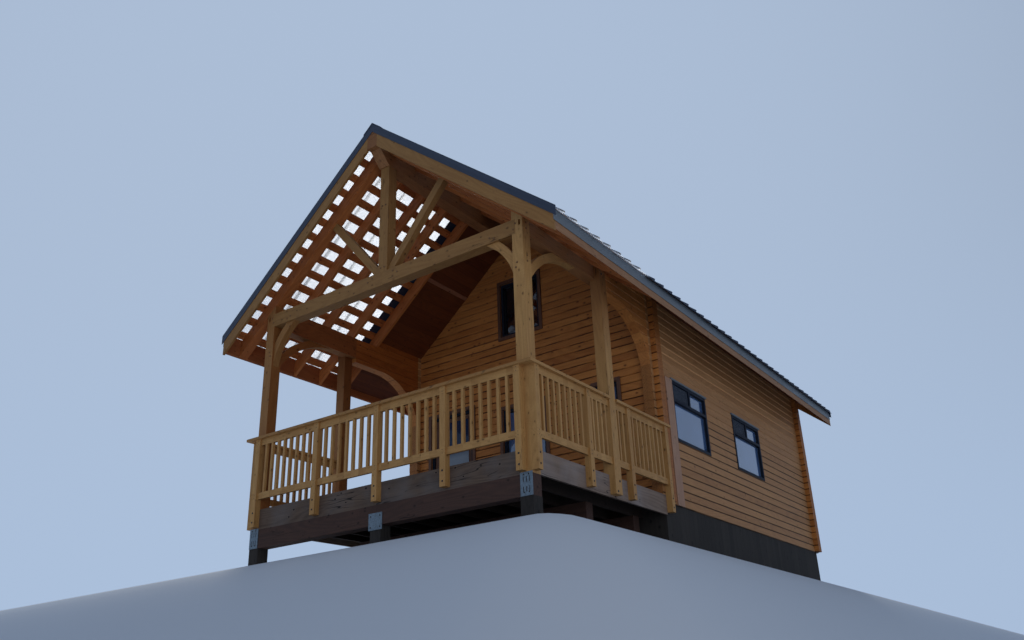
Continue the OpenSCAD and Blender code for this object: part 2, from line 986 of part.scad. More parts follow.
module right_railing() {
    before = mid_right - bay_before;
    after = mid_right + post + bay_after;
    color(FRESH)
        along_side() {
            for (x = [0, before, after, porch_d]) rail_post_x(x);
            rail_bay_x(rail_post, before, side_gap);
            rail_bay_x(before + rail_post, mid_right, side_gap);
            rail_bay_x(mid_right + post, after, side_gap);
            rail_bay_x(after + rail_post, porch_d, side_gap);
        }
}

module left_railing() {
    color(FRESH)
        mirror([1, 0, 0])
            along_side() {
                rail_post_x(0);
                rail_bay_x(rail_post, mid_left, side_gap);
            }
}

module rail_caps() {
    out = half_w + rail_post + cap_over;
    z = [rail_z, rail_z + rail_t];
    color(FRESH) {
        block([-out, yf - rail_post - cap_over, z[0]], [out, yf, z[1]]);
        block([half_w, yf, z[0]], [out, yf + mid_right, z[1]]);
        block([half_w, yf + mid_right + post, z[0]], [out, yw + log_t, z[1]]);
        block([-out, yf, z[0]], [-half_w, yf + mid_left, z[1]]);
    }
}

foundation();
deck_piers();
steel_brackets();
deck_beams();
deck_joists();
deck_rim();
deck_floor();
cabin_floor();
front_wall_left();
front_wall_right();
front_wall_upper();
front_gable();
right_wall();
left_wall();
back_wall();
back_gable();
log_arches();
ceiling_deck();
door_frame();
door();
door_handle();
front_window_frames();
side_window_frames();
window_glass();
window_trim();
side_boards();
window_head_flashings();
door_trim();
corner_posts();
mid_posts();
side_plates();
tie_beam();
king_post();
truss_struts();
principal_rafters();
ridge_beam();
truss_braces();
plate_braces();
porch_rafters();
porch_battens();
rake_boards();
eave_boards();
roof_sheets();
clear_sheets();
ridge_cap();
rake_flashings();
eave_flashings();
front_railing();
right_railing();
left_railing();
rail_caps();
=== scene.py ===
# %% [markdown]
# # A squared-log cabin with a timber-framed covered deck
# This lesson dresses a finished CAD model of a small cabin. The walls, the truss, the roof and the
# railings come from the CAD frame and are never moved. What is added here is what a carpenter would
# see close up: wood grain, boards, bolts, screws, seals, glass and the light that falls on them.

# %% Load the CAD frame
import math

import bmesh
import bpy
import numpy as np
from mathutils import Matrix, Vector


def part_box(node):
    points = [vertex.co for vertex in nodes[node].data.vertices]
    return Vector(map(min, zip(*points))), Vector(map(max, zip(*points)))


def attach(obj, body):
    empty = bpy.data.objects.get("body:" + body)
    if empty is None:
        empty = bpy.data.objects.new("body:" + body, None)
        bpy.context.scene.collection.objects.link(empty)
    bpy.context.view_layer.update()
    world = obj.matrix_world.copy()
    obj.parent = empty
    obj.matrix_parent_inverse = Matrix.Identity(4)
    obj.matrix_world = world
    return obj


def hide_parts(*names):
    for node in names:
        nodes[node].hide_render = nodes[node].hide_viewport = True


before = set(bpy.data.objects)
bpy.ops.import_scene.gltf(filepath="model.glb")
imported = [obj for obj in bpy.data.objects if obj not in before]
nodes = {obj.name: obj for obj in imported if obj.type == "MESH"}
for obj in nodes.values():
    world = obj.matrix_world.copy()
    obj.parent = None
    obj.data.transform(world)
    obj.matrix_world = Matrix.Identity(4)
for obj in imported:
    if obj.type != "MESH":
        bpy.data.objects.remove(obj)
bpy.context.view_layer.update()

# %% [markdown]
# ## The sizes that the new pieces need
# Everything is in metres, X to the right of the front, Y to the back, Z up. The new pieces repeat a
# few places of the CAD part, such as the top of the deck and the outer face of the walls, so that
# a screw or a board lies exactly on what carries it.

# %% Places on the cabin
HALF = 2.420            # outer face of the walls and of the posts
DECK = 0.900            # top of the deck
FRONT = -5.025          # front face of the corner posts
WALL = -1.645           # front face of the front wall
BACK = 5.105            # back face of the back wall
LOG = 0.127             # height of a log course
LOG_T = 0.165           # thickness of the log walls
LOG_FOOT = 0.802        # underside of the lowest course
PLATE = 3.936           # underside of the rafters at the wall face
SHEET_FOOT = 0.2974     # height of the clear sheets over the rafters' underside
PITCH = math.radians(39.8)
SLOPE = math.tan(PITCH)
OUT = (math.sin(PITCH), 0, math.cos(PITCH))         # direction out of the right slope
MIRROR = np.array((-1, 1, 1))                       # turns a place on the right into its twin on the left
print("roof pitch in degrees:", round(math.degrees(PITCH), 1))


def under_roof(x):
    """Height of the rafters' underside: the plate's height plus the run in from the wall, times the slope."""
    return PLATE + (HALF - np.abs(x)) * SLOPE


# %% [markdown]
# ## The camera
# The photograph is taken from the front right, from well below the deck, looking up and to the left.
# A camera's direction is easiest to say as three turns: first tilt it up from straight down, then
# swing it round the upright axis, and last roll it a little about its own line of sight. The small
# shift moves the middle of the picture, as a crop of a larger photograph does.

# %% Camera at the photograph's angle
camera_data = bpy.data.cameras.new("photo camera")
camera_data.sensor_width = 36
camera_data.lens = 30.83
camera_data.shift_x = -0.0184
camera_data.shift_y = 0.0182
camera_data.clip_end = 300
camera = bpy.data.objects.new("photo camera", camera_data)
bpy.context.collection.objects.link(camera)
swing, tilt, roll = math.radians(33.84), math.radians(90 + 22.72), math.radians(-2.53)
turn = Matrix.Rotation(swing, 4, "Z") @ Matrix.Rotation(tilt, 4, "X") @ Matrix.Rotation(roll, 4, "Z")
camera.matrix_world = Matrix.Translation((7.856, -13.050, -1.816)) @ turn
bpy.context.scene.camera = camera
print("lens", camera_data.lens, "mm, at", tuple(round(v, 2) for v in camera.location))

# %% [markdown]
# ## Surfaces from whole arrays
# Each new piece is worked out with numpy as a grid of points, and its faces are the small squares
# between neighbouring points. Three helpers do this for the whole lesson: one numbers the squares of
# a grid, one puts points and faces into a mesh that stands at the origin, and one also says which CAD
# body the mesh moves with.

# %% Grid faces, a mesh and a piece


def grid_faces(rows, columns, close_rows=False, close_columns=False):
    """Corner numbers of the squares of a grid: point (i, j) is number i * columns + j, and a closed side wraps to 0."""
    i, j = np.meshgrid(np.arange(rows - (not close_rows)), np.arange(columns - (not close_columns)), indexing="ij")
    i2, j2 = (i + 1) % rows, (j + 1) % columns
    return np.stack([i * columns + j, i * columns + j2, i2 * columns + j2, i2 * columns + j], -1).reshape(-1, 4)


def add_mesh(name, points, faces, material, smooth):
    """Puts points and faces into a mesh at the origin, with one material."""
    mesh = bpy.data.meshes.new(name)
    mesh.from_pydata(np.asarray(points).reshape(-1, 3).tolist(), [], faces)
    mesh.polygons.foreach_set("use_smooth", np.full(len(mesh.polygons), smooth))
    mesh.materials.append(material)
    obj = bpy.data.objects.new(name, mesh)
    bpy.context.collection.objects.link(obj)
    return obj, mesh


def make_piece(name, points, faces, material, finish, body="building", smooth=False):
    """Adds a mesh and lets it ride on a CAD body. The signed volume, the sum of the small tetrahedra from the origin
    to each face, is negative when the faces point inwards, and then they are turned round."""
    obj, mesh = add_mesh(name, points, faces, material, smooth)
    form = bmesh.new()
    form.from_mesh(mesh)
    litres = form.calc_volume(signed=True) * 1000
    form.free()
    if litres < 0:
        mesh.flip_normals()
    mesh.update()
    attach(obj, body)
    print(name, "has", len(mesh.polygons), "faces and", round(abs(litres), 2), "litres")
    return obj


# %% [markdown]
# Boards, beads and bars are one profile carried along a straight line, many times over. Screws and
# bolts are one small profile spun round an axis, many times over. In both, the profile is written
# once, and numpy adds it to every place at the same time. Places are lists of three numbers, and many
# of them have a twin on the left side of the cabin.

# %% Bars, heads and places


def repeated(count, corners, *faces):
    """The faces of one shape, for every copy of it: the corner numbers of each copy go on from the last."""
    first = (np.arange(count) * corners)[:, None, None]
    return [face for f in faces for face in (f + first).reshape(-1, f.shape[1]).tolist()]


def bars(starts, ends, side, profile):
    """Straight bars: each point is a start or an end, plus the profile's first number times the side
    direction, plus its second number times the direction square to both. Ends are closed by the profile."""
    starts, ends = np.atleast_2d(starts).astype(float), np.atleast_2d(ends).astype(float)
    profile = np.asarray(profile, float)
    along = ends - starts
    along /= np.linalg.norm(along, axis=1, keepdims=True)
    side = np.broadcast_to(np.asarray(side, float), along.shape)
    up = np.cross(along, side)
    shape = profile[None, :, :1] * side[:, None] + profile[None, :, 1:] * up[:, None]
    points = np.stack([starts[:, None] + shape, ends[:, None] + shape], 1)
    m = len(profile)
    caps = np.stack([np.arange(m), np.arange(2 * m - 1, m - 1, -1)])
    return points, repeated(len(starts), 2 * m, grid_faces(2, m, close_columns=True), caps)


def heads(centres, axis, profile, sides=10):
    """Round heads: the profile's radius turns round the axis through each centre, its height is added along it."""
    centres = np.atleast_2d(centres).astype(float)
    axis = np.asarray(axis, float) / np.linalg.norm(axis)
    other = np.cross(axis, (0.3, 0.5, 0.81))
    other /= np.linalg.norm(other)
    third = np.cross(axis, other)
    angle = np.linspace(0, 2 * np.pi, sides, endpoint=False)
    ring = np.cos(angle)[:, None] * other + np.sin(angle)[:, None] * third
    profile = np.asarray(profile, float)
    one = profile[:, 0, None, None] * ring[None] + profile[:, 1, None, None] * axis
    points = centres[:, None, None] + one[None]
    m = len(profile)
    lids = np.stack([np.arange(sides)[::-1], np.arange(sides) + (m - 1) * sides])
    return points, repeated(len(centres), m * sides, grid_faces(m, sides, close_columns=True), lids)


def joined(parts):
    """Several lists of points and faces as one: each list's faces are moved on by the points before it."""
    points = [np.asarray(p).reshape(-1, 3) for p, f in parts]
    before = np.cumsum([0] + [len(p) for p in points])
    faces = [[v + first for v in face] for (p, f), first in zip(parts, before) for face in f]
    return np.concatenate(points), faces


def places(x, y, z):
    """Places from three numbers or arrays. Where one is a column and another a row, every pair gives a place."""
    return np.stack(np.broadcast_arrays(x, y, z), -1).reshape(-1, 3)


def both_sides(right):
    """The places, and the same places mirrored to the left."""
    return np.concatenate([right, right * MIRROR])


DOME = np.array([(1.0, -0.1), (1.0, 0.25), (0.8, 0.55), (0.4, 0.75)])
SCREW = np.array([(9, -1), (9, 1.5), (5.5, 2), (5.5, 6), (4, 7)]) / 1000
print("a screw has", len(heads([(0, 0, 0)], (0, 0, 1), SCREW, 6)[1]), "faces")

# %% [markdown]
# ## Small tools for shader nodes
# A material is a little network. These helpers add a node, wire it and hand back its output, so that
# a finish can be written as a few lines that read from the surface's place to its colour. A wire knows
# the network it belongs to, so a helper that is given a wire puts its node there too.

# %% Node helpers


def is_wire(value):
    return isinstance(value, bpy.types.NodeSocket)


def wire(made, inputs):
    """Gives a node's inputs, by name or number, their wires or values."""
    for key, value in dict(inputs).items():
        if is_wire(value):
            made.id_data.links.new(value, made.inputs[key])
        else:
            made.inputs[key].default_value = value


def node(tree, kind, inputs=(), **settings):
    """A new shader node: settings are its own properties."""
    made = tree.nodes.new("ShaderNode" + kind)
    for key, value in settings.items():
        setattr(made, key, value)
    wire(made, inputs)
    return made


def sums(operation, a, b=0.0, c=0.0, clamp=False):
    """A Math node's output."""
    tree = next(v.id_data for v in (a, b, c) if is_wire(v))
    return node(tree, "Math", {0: a, 1: b, 2: c}, operation=operation, use_clamp=clamp).outputs[0]


def times(a, b):
    return sums("MULTIPLY", a, b)


def minus(a, b):
    return sums("SUBTRACT", a, b)


def absolute(a):
    """A value without its sign."""
    return sums("ABSOLUTE", a)


def line(a, slope, start, clamp=False):
    """A value times a slope, plus a start."""
    return sums("MULTIPLY_ADD", a, slope, start, clamp)


def between(value, low, high):
    """0 below low, 1 above high, and a smooth step between them. With low above high it runs the other way."""
    return node(value.id_data, "MapRange", {"Value": value, "From Min": low, "From Max": high},
                interpolation_type="SMOOTHSTEP").outputs["Result"]


def mixed(factor, a, b, mode="MIX"):
    """Two colours mixed by a factor."""
    a, b = (v if is_wire(v) else (*v, 1) for v in (a, b))
    return node(factor.id_data, "Mix", {"Factor": factor, 6: a, 7: b}, data_type="RGBA", blend_type=mode).outputs[2]


def dim(colour, by, more=0.0):
    """A colour times a number, plus another."""
    return tuple(v * by + more for v in colour)


def xyz(place):
    """The three parts of a place or direction."""
    return node(place.id_data, "SeparateXYZ", {0: place}).outputs


def vector(x, y=0.0, z=0.0):
    """A place or direction from its three parts, of which the first is a wire."""
    return node(x.id_data, "CombineXYZ", {0: x, 1: y, 2: z}).outputs[0]


def raised(height, strength, distance):
    """A bump: light falls on the surface as if it stood out by the height times the distance."""
    return node(height.id_data, "Bump", {"Height": height, "Strength": strength, "Distance": distance}).outputs[0]


def new_group(name, inputs, outputs):
    """An empty node group. Inputs name each socket's kind, and every output is a number."""
    tree = bpy.data.node_groups.new(name, "ShaderNodeTree")
    for label, kind in inputs.items():
        tree.interface.new_socket(label, in_out="INPUT", socket_type="NodeSocket" + kind)
    for label in outputs:
        tree.interface.new_socket(label, in_out="OUTPUT", socket_type="NodeSocketFloat")
    return tree, tree.nodes.new("NodeGroupInput").outputs, tree.nodes.new("NodeGroupOutput")


def group(ready, place, **more):
    """The outputs of a node group that is read at a place."""
    return node(place.id_data, "Group", {"Place": place, **more}, node_tree=ready).outputs


print("node helpers ready")

# %% [markdown]
# ## Wood grain, once for every timber
# A planed face shows growth rings cut at a slant. They can be drawn as the contour lines of a smooth
# noise that is stretched along the timber: where the noise rises, a line runs, and where it has a
# hill, the lines close into a pointed arch. Finer streaks run beside them. Here and there a branch
# leaves a small dark knot with a warm ring round it, and the rings bend away from it. Timber that
# dries outdoors also splits, in thin broken lines along the grain. The group takes a place whose X
# runs along the timber, in metres.

# %% Node group: wood grain


def stretched(place, amounts):
    """A place multiplied by a different amount in each direction."""
    return node(place.id_data, "VectorMath", {0: place, 1: amounts}, operation="MULTIPLY").outputs[0]


def noise(place, amounts, detail=2.0):
    """Smooth noise of a stretched place, around one half."""
    inputs = {"Vector": stretched(place, amounts), "Scale": 1.0, "Detail": detail}
    return node(place.id_data, "TexNoise", inputs).outputs[0]


def from_half(value):
    """How far a value is from one half, which for a noise is the way to its middle contour line."""
    return absolute(minus(value, 0.5))


def make_grain():
    tree, start, end = new_group("wood grain", {"Place": "Vector"}, ("Tone", "Knot", "Halo", "Crack", "Height"))
    place = start["Place"]
    cells = stretched(place, (9.0, 14.0, 14.0))
    spots = node(tree, "TexVoronoi", {"Vector": cells, "Scale": 1.0}, feature="F1").outputs
    chance = node(tree, "SeparateColor", {0: spots["Color"]}).outputs
    knot_size = line(chance[1], 0.15, 0.07)
    away = sums("DIVIDE", spots["Distance"], knot_size)
    chosen = between(chance[0], 0.62, 0.64)
    knot = times(between(away, 1.05, 0.75), chosen)
    halo = times(between(away, 2.3, 0.9), chosen)
    hills = line(halo, 0.03, noise(place, (0.45, 3.2, 3.2), 1.0))
    rings = sums("SINE", times(hills, 95.0))
    streaks = noise(place, (1.6, 70.0, 70.0), 4.0)
    tone = line(rings, 0.10, 0.02)
    tone = line(streaks, 0.42, tone)
    tone = line(noise(place, (0.7, 2.5, 2.5), 3.0), 0.62, tone)
    split = from_half(noise(place, (0.9, 13.0, 13.0)))
    crack = times(between(split, 0.010, 0.003), between(noise(place, (1.4, 5.0, 5.0)), 0.52, 0.60))
    height = line(crack, -1.6, line(streaks, 0.6, times(rings, 0.2)))
    wire(end, {"Tone": tone, "Knot": knot, "Halo": halo, "Crack": crack, "Height": height})
    return tree


grain_group = make_grain()
print("group:", grain_group.name)

# %% [markdown]
# No two boards have the same colour. This group counts boards along one direction: it divides a
# place by the spacing, drops the fraction, and turns the whole number into a shade of its own. The
# fraction that was dropped tells how near the joint is, where dirt and shadow gather.

# %% Node group: board shade


def make_board_shade():
    tree, start, end = new_group("board shade", dict.fromkeys(("Place", "Spacing", "Start"), "Float"),
                                 ("Shade", "Joint", "Number", "Middle"))
    count = sums("DIVIDE", minus(start["Place"], start["Start"]), start["Spacing"])
    whole = sums("FLOOR", count)
    shade = node(tree, "TexWhiteNoise", {"W": whole}, noise_dimensions="1D").outputs["Value"]
    aside = minus(sums("FRACT", count), 0.5)
    wire(end, {"Shade": shade, "Joint": absolute(aside), "Number": whole, "Middle": times(aside, start["Spacing"])})
    return tree


board_group = make_board_shade()
print("group:", board_group.name)

# %% [markdown]
# A sawn end shows the rings as circles round the heart of the tree, and cracks that run out from the
# heart. The group takes the place on the end, measured from the heart: its length gives the circles
# and its direction the cracks.

# %% Node group: end rings


def make_end_rings():
    tree, start, end = new_group("end rings", {"Place": "Vector"}, ("Ring", "Split"))
    place = start["Place"]
    far = node(tree, "VectorMath", {0: place}, operation="LENGTH").outputs["Value"]
    wobble = noise(place, (18.0, 18.0, 18.0))
    ring = sums("SINE", times(line(wobble, 0.02, far), 950.0))
    x, y, _ = xyz(place)
    ray = vector(times(sums("ARCTAN2", y, x), 2.2), times(far, 6.0))
    wire(end, {"Ring": line(ring, 0.5, 0.5), "Split": between(from_half(noise(ray, (1.0, 1.0, 1.0))), 0.02, 0.006)})
    return tree


ring_group = make_end_rings()
print("group:", ring_group.name)

# %% [markdown]
# Weather leaves the same marks on every outdoor surface: large pale and dark patches, and fine dust.
# The group gives one number for the patches and one for the specks, and each material decides how
# much of them to show.

# %% Node group: weather marks


def make_weather():
    tree, start, end = new_group("weather marks", {"Place": "Vector"}, ("Patch", "Speck"))
    place = start["Place"]
    patch = node(tree, "TexNoise", {"Vector": place, "Scale": 1.3, "Detail": 5.0, "Roughness": 0.6}).outputs[0]
    speck = node(tree, "TexNoise", {"Vector": place, "Scale": 45.0, "Detail": 2.0}).outputs[0]
    wire(end, {"Patch": between(patch, 0.38, 0.66), "Speck": between(speck, 0.45, 0.7)})
    return tree


weather_group = make_weather()
print("group:", weather_group.name)

# %% [markdown]
# ## The timber finishes
# All the wood shares one recipe: turn the object's own coordinates until X runs along the timber,
# read the grain there, give each board its shade, darken the knots, the joints, the cracks and the
# weathered patches, and let the grain raise the surface a little. Only the colours, the direction
# and the spacing of the boards change from one finish to the next. Timbers of the left slope are
# mirrored from the right one, so the finishes fold the place at the ridge first.

# %% Places and directions of the grain
# The turn, in degrees round X, Y and Z, that brings each direction to X
ALONG = {"x": (0, 0, 0), "y": (0, 0, -90), "z": (0, 90, 0), "slope": (0, -math.degrees(PITCH), 0),
         "strut": (0, 51.0, 0), "truss brace": (0, 130, 0), "plate brace": (-32, 0, -90)}
LEFT_MOVE = 7.0         # how far the left side's grain is moved along


def new_material(name):
    """A material, its network and its surface shader."""
    material = bpy.data.materials.new(name)
    material.use_nodes = True
    tree = material.node_tree
    return material, tree, tree.nodes["Principled BSDF"]


def real_place(tree):
    """The three parts of the place on the object."""
    return xyz(node(tree, "TexCoord").outputs["Object"])


def facing(tree, axis):
    """How much the surface looks along an axis: 1 along it, -1 against it."""
    return xyz(node(tree, "TexCoord").outputs["Normal"])["xyz".index(axis)]


def folded_place(tree):
    """The place with its X folded at the ridge and its left side moved on, so that the grain differs there, and the
    three parts of the real place."""
    x, y, z = real_place(tree)
    left = times(sums("LESS_THAN", x, 0.0), LEFT_MOVE)
    return vector(absolute(x), sums("ADD", y, left), z), (x, y, z)


def along_grain(place, direction):
    """The place turned so that its X runs in the named direction."""
    turn = [math.radians(v) for v in ALONG[direction]]
    return node(place.id_data, "Mapping", {"Vector": place, "Rotation": turn}).outputs[0]


def in_bands(value, bands):
    """1 inside any of the bands, each a low and a high value, and 0 outside."""
    total = 0.0
    for low, high in bands:
        total = sums("ADD", total, times(sums("GREATER_THAN", value, low), sums("LESS_THAN", value, high)))
    return total


print("directions:", ", ".join(ALONG))

# %% [markdown]
# The ends of the logs and posts need their own place: the distance from the heart of that timber. For
# a log of the front or back wall it is the way in from the middle of the wall and from the middle of
# the course, so the walls' middle lines are all that has to be known.

# %% End grain


def end_colour(colour, place, middle, axis, dark):
    """Colours a sawn end: a darker wood with ring lines and cracks, where the surface faces along the axis."""
    x, y, _ = place
    ends = between(absolute(facing(x.id_data, axis)), 0.8, 0.9)
    if axis == "x":
        aside = minus(absolute(minus(y, (WALL + BACK) / 2)), (BACK - WALL) / 2 - LOG_T / 2)
    elif axis == "y":
        aside = minus(absolute(x), HALF - LOG_T / 2)
    else:
        aside, middle = minus(absolute(x), HALF), sums("ADD", y, 0.35)
    rings = group(ring_group, vector(aside, middle))
    shade = mixed(rings["Ring"], dim(dark, 0.70), dim(dark, 1.05))
    shade = mixed(times(rings["Split"], 0.8), shade, dim(dark, 0.15))
    return mixed(times(ends, 0.8), colour, shade)


# %% [markdown]
# Light decides some of the colour too. The faces that look into the deck throw warm light at each
# other, the left timbers stand in shade, and so do the tops of the middle posts, under the eave. The
# recipe can tint these places, always by multiplying, so the grain stays as it is.

# %% Wood finish
GREY = (0.20, 0.19, 0.18)           # weathered wood
ROOF_SHADE = (0.60, 0.48, 0.42)     # tint under the eave
PALEST = 0.8                        # no joint is paler than this


def wood(name, light, dark, direction="x", boards=None, joint=0.0, joint_width=0.035, broken=0.0, fade=None, pale=None,
         knots=0.85, cracks=0.35, grey=0.0, roughness=0.62, bump=0.25, bands=None, end_grain=None, end_tone=None,
         inner=None, left=None, under=None):
    """A timber finish in a light and a dark tone.

    boards is (axis, spacing, start). broken is how far the joints fade in and out along the board. fade and pale
    are pairs of heights, over which the dark joints end and a painted highlight on the joints begins, standing for
    the light from the ground on the log edges under the eave. bands is (direction, height bands) where the grain
    turns. end_grain is the axis out of the sawn ends, and end_tone their colour.
    inner paints a warm shade on the faces that look to the middle of the building, left paints shade on the
    left side, and under is the pair of heights over which the painted shade of the roof comes in."""
    material, tree, skin = new_material(name)
    place, real = folded_place(tree)
    x, _, z = real
    turned = along_grain(place, direction)
    if bands:
        across = along_grain(place, bands[0])
        turned = node(tree, "Mix", {"Factor": in_bands(z, bands[1]), 4: turned, 5: across},
                      data_type="VECTOR").outputs[1]
    if boards:
        axis, spacing, first = boards
        board = group(board_group, xyz(place)["xyz".index(axis)], Spacing=spacing, Start=first)
        moved = vector(times(board["Number"], 3.7))
        turned = node(tree, "VectorMath", {0: turned, 1: moved}).outputs[0]
    grain, weather = group(grain_group, turned), group(weather_group, place)
    tone = grain["Tone"]
    if boards:
        tone = sums("ADD", tone, times(minus(board["Shade"], 0.5), 0.30))
    colour = mixed(line(tone, 1.25, -0.25, clamp=True), dark, light)
    for amount, strength, mark in (
            (grain["Halo"], 0.45 * knots, dim(dark, 0.75)), (grain["Knot"], knots, dim(dark, 0.40)),
            (weather["Patch"], grey, GREY), (weather["Speck"], 0.12, dim(dark, 0.5)),
            (grain["Crack"], cracks, dim(dark, 0.10))):
        if strength:
            colour = mixed(times(amount, strength), colour, mark)
    if joint:
        edge = between(board["Joint"], 0.5 - joint_width, 0.5)
        stretch = between(noise(turned, (0.8 + 2.2 * broken, 0.7, 0.7)), 0.40, 0.56)
        # Painted highlight: high on the wall the joints are painted pale, as the light from the ground falls on the log
        # edges under the eave; PALEST caps it
        if pale:
            above = times(between(z, *pale), 0.65)
            colour = mixed(times(edge, above), colour, tuple(min(v, PALEST) for v in dim(light, 1.5)))
        if fade:
            edge = times(edge, between(z, fade[1], fade[0]))
        edge = times(edge, line(stretch, broken, 1 - broken))
        colour = mixed(times(edge, joint), colour, dim(dark, 0.10))
    if end_grain:
        colour = end_colour(colour, real, board["Middle"] if boards else z, end_grain, end_tone or dark)
    # Painted warm shade on the faces that look inwards, painted shade on the left side and on the tops under the roof
    if inner:
        colour = mixed(between(times(facing(tree, "x"), x), -0.5, -1.5), colour, inner, "MULTIPLY")
    if left:
        colour = mixed(sums("LESS_THAN", x, 0.0), colour, left, "MULTIPLY")
    if under:
        colour = mixed(between(z, *under), colour, ROOF_SHADE, "MULTIPLY")
    wire(skin, {"Base Color": colour, "Roughness": line(grain["Tone"], 0.16, roughness - 0.08),
                "Specular IOR Level": 0.3, "Normal": raised(grain["Height"], bump, 0.002)})
    return material


print("the wood recipe is ready")

# %% [markdown]
# The colours are read from the real timbers. All the logs are one pine, and the front wall is painted the most
# orange, a painted warm light that bounces under the deck roof; the side walls are paler and a little grey; the
# planed posts, the truss braces and the rails are light and straw-like, and the timbers high in the truss are painted
# darker, a painted shade; the rafters are warm, the boards between them dark; and the beams under the deck are wet and
# almost brown-black.

# %% The wood finishes
# The logs below are one pine: the first is painted more orange, a painted warm light from under the deck roof, and
# serves the front, back and gable walls, the arches and the cabin floor
HONEY = (0.70, 0.28, 0.068), (0.40, 0.13, 0.027)
SIDE = (0.56, 0.275, 0.105), (0.35, 0.15, 0.048)
FRESH = (0.61, 0.335, 0.115), (0.40, 0.19, 0.055)
# The tie beam, king post, struts and rake boards are the planed timber painted darker and a little redder: a painted
# shade under the roof
HIGH_SHADED = (0.41, 0.212, 0.068), (0.265, 0.118, 0.031)
WARM = (0.64, 0.225, 0.062), (0.38, 0.11, 0.027)
BROWN = (0.20, 0.092, 0.050), (0.09, 0.040, 0.024)
LEFT_SHADE = (0.72, 0.62, 0.55)
POST_INSIDE = (0.85, 0.68, 0.55)
RAIL_BANDS = [(DECK + 0.132, DECK + 0.224), (DECK + 0.92, DECK + 1.012)]
COURSES = ("z", LOG, LOG_FOOT)

# Each finish is named after its timber and the direction of its grain
w = {
    "logs_x": wood("honey pine logs, front", *HONEY, "x", COURSES, joint=1.0, joint_width=0.15, broken=0.8,
                   fade=(3.6, 6.2), end_grain="x"),
    # The side walls' joints are painted pale above 3 m, a painted highlight of the light from the ground under the eave
    "logs_y": wood("honey pine logs, side", *SIDE, "y", COURSES, joint=1.0, joint_width=0.15, broken=0.3,
                   end_tone=(0.42, 0.15, 0.032), fade=(2.35, 2.65), pale=(3.0, 3.2), end_grain="y"),
    "logs_arch": wood("honey pine logs, arches", *HONEY, "y", COURSES, joint=0.6, broken=0.7, inner=(0.75, 0.55, 0.42)),
    "warm_slope": wood("warm pine rafters", *WARM, "slope", ("y", 0.55, FRONT)),
    "warm_y": wood("warm pine battens", *WARM, "y", ("x", 0.214, 0.10)),
    "ceiling": wood("dark stained boards", (0.21, 0.056, 0.016), (0.11, 0.026, 0.008), "y", ("x", 0.145, 0.0),
                    joint=0.7, joint_width=0.02, knots=0.4),
    "beam_y": wood("pine plates and ridge", (0.45, 0.205, 0.075), (0.27, 0.105, 0.034), "y", end_grain="y", cracks=0.6,
                   inner=(0.80, 0.52, 0.34)),
    "fresh_y": wood("planed timber, long", *FRESH, "y", end_grain="y"),
    "fresh_z": wood("planed timber, upright", *FRESH, "z", end_grain="z", cracks=0.6, inner=POST_INSIDE,
                    left=LEFT_SHADE),
    "mid_z": wood("planed timber, middle posts", *FRESH, "z", cracks=0.6, inner=POST_INSIDE, left=LEFT_SHADE,
                  under=(2.0, 3.8)),
    "high_x": wood("planed timber, level", *HIGH_SHADED, "x", cracks=0.6),
    "high_z": wood("planed timber, king post", *HIGH_SHADED, "z", cracks=0.6),
    "high_slope": wood("planed timber, on the slope", *HIGH_SHADED, "slope"),
    "strut": wood("planed struts", *HIGH_SHADED, "strut"),
    "truss_brace": wood("planed truss braces", *FRESH, "truss brace", left=LEFT_SHADE),
    "plate_brace": wood("planed plate braces", *FRESH, "plate brace", inner=(0.85, 0.62, 0.48), left=LEFT_SHADE),
    "rail_x": wood("planed front railing", *FRESH, "z", ("x", 0.134, 0.0), bands=("x", RAIL_BANDS), end_grain="z"),
    "rail_y": wood("planed side railing", *FRESH, "z", ("y", 0.118, 0.0), bands=("y", RAIL_BANDS), end_grain="z"),
    "eave_y": wood("eave boards", (0.43, 0.225, 0.11), (0.27, 0.125, 0.055), "y", inner=(1.0, 0.62, 0.42)),
    "board_z": wood("pale window board", (0.52, 0.30, 0.19), (0.36, 0.185, 0.11), "z"),
    "rim_beam": wood("wet deck beams", (0.115, 0.056, 0.038), (0.050, 0.025, 0.018), "x", cracks=0.9, roughness=0.75,
                     bump=0.4),
    "joist": wood("deck joists", (0.05, 0.032, 0.023), (0.022, 0.014, 0.010), "y", roughness=0.8),
    "footing": wood("dark footing boards", (0.055, 0.045, 0.038), (0.024, 0.020, 0.017), "z", ("y", 0.15, 0.0),
                    joint=0.6, roughness=0.85),
    "brown_z": wood("brown trim", *BROWN, "z", knots=0.2, roughness=0.5),
    "floor_x": wood("cabin floor boards", *HONEY, "x", ("y", 0.14, 0.0), joint=0.8, joint_width=0.02),
    "peg": wood("oak pegs", (0.34, 0.17, 0.07), (0.20, 0.10, 0.042), "x", end_grain="y", knots=0.0),
}
print("wood finishes:", len(w))

# %% [markdown]
# The rim boards run across the front and along the sides. Their finish turns the grain with the face:
# where the surface looks to the side, the board runs along Y. The side boards are also paler and greyer.
# Long dark cracks wander along both.

# %% Rim boards


